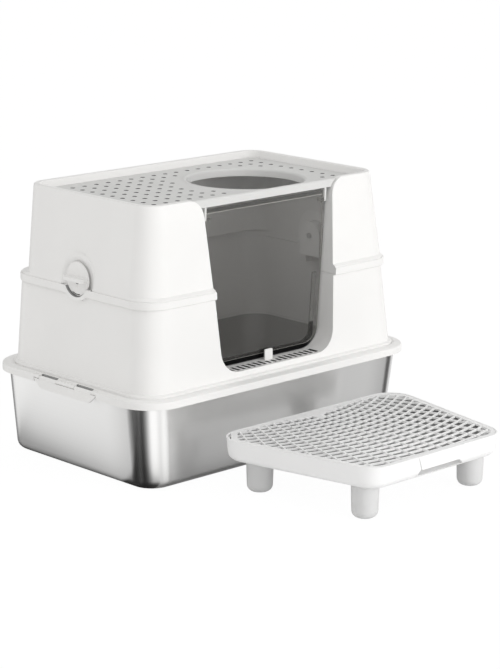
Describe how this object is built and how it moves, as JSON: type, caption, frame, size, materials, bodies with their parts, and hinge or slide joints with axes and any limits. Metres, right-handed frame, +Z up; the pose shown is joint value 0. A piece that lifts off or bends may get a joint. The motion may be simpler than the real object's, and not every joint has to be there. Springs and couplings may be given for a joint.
{
  "type": "covered litter box",
  "caption": "Steel litter pan under a tapered plastic enclosure with a smoked flap door, a round top entry and a separate step with a litter-catching grid.",
  "frame": {"origin": "on the pan's underside, midway between its ends and under the middle of the cover's top rim", "axes": "+X along the long side, +Y away from the door towards the back, +Z up"},
  "size_m": [0.6004, 0.7137, 0.4398],
  "materials": {
    "steel": "brushed stainless steel, satin",
    "shell_plastic": "warm white moulded plastic, satin",
    "lid_plastic": "pale grey moulded plastic, satin",
    "smoked_acrylic": "clear smoked plastic, glossy",
    "seal_rubber": "black rubber, matte",
    "pin_steel": "plain steel wire",
    "cam_plastic": "grey moulded plastic",
    "screw_steel": "zinc-plated steel",
    "step_plastic": "white moulded plastic, satin",
    "leg_plastic": "pale grey moulded plastic, matte"
  },
  "bodies": {
    "base": {"steel_pan": "steel", "collar": "shell_plastic", "clip_pins": "pin_steel", "lower_shell": "shell_plastic"},
    "left_clip": {"left_clip": "shell_plastic"},
    "right_clip": {"right_clip": "shell_plastic"},
    "cover": {"upper_shell": "shell_plastic", "left_lock_case": "shell_plastic", "right_lock_case": "shell_plastic"},
    "lid": {"lid_plate": "lid_plastic", "hinge_pins": "pin_steel"},
    "door": {"door_panel": "smoked_acrylic", "door_seal": "seal_rubber"},
    "latch": {"latch_tab": "shell_plastic"},
    "left_knob": {"left_knob": "shell_plastic", "left_cam": "cam_plastic", "left_knob_screw": "screw_steel"},
    "right_knob": {"right_knob": "shell_plastic", "right_cam": "cam_plastic", "right_knob_screw": "screw_steel"},
    "step": {"step_tray": "step_plastic", "step_leg_front_left": "leg_plastic", "step_leg_front_right": "leg_plastic", "step_leg_back_left": "leg_plastic", "step_leg_back_right": "leg_plastic", "leg_screws": "screw_steel"},
    "grid": {"step_grid": "step_plastic"}
  },
  "joints": [
    {"name": "left_clip_swing", "type": "hinge", "parent": "base", "child": "left_clip", "pos_m": [-0.297, 0, 0.1444], "axis": [0, 1, 0], "range_deg": [0, 75]},
    {"name": "right_clip_swing", "type": "hinge", "parent": "base", "child": "right_clip", "pos_m": [0.297, 0, 0.1444], "axis": [0, -1, 0], "range_deg": [0, 75]},
    {"name": "cover_lift", "type": "slide", "parent": "base", "child": "cover", "axis": [0, 0, 1], "range_m": [0, 0.16]},
    {"name": "lid_lift", "type": "slide", "parent": "cover", "child": "lid", "axis": [0, 0, 1], "range_m": [0, 0.25]},
    {"name": "door_swing", "type": "hinge", "parent": "lid", "child": "door", "pos_m": [0, -0.14241, 0.405], "axis": [1, 0, 0], "range_deg": [0, 80]},
    {"name": "latch_slide", "type": "slide", "parent": "base", "child": "latch", "axis": [0, 0, -1], "range_m": [0, 0.011]},
    {"name": "left_knob_turn", "type": "hinge", "parent": "cover", "child": "left_knob", "pos_m": [-0.27, 0, 0.309], "axis": [1, 0, 0], "range_deg": [0, 90]},
    {"name": "right_knob_turn", "type": "hinge", "parent": "cover", "child": "right_knob", "pos_m": [0.27, 0, 0.309], "axis": [1, 0, 0], "range_deg": [0, 90]},
    {"name": "step_slide", "type": "slide", "parent": "base", "child": "step", "axis": [0, -1, 0], "range_m": [0, 0.12]},
    {"name": "grid_lift", "type": "slide", "parent": "step", "child": "grid", "axis": [0, 0, 1], "range_m": [0, 0.1]}
  ]
}
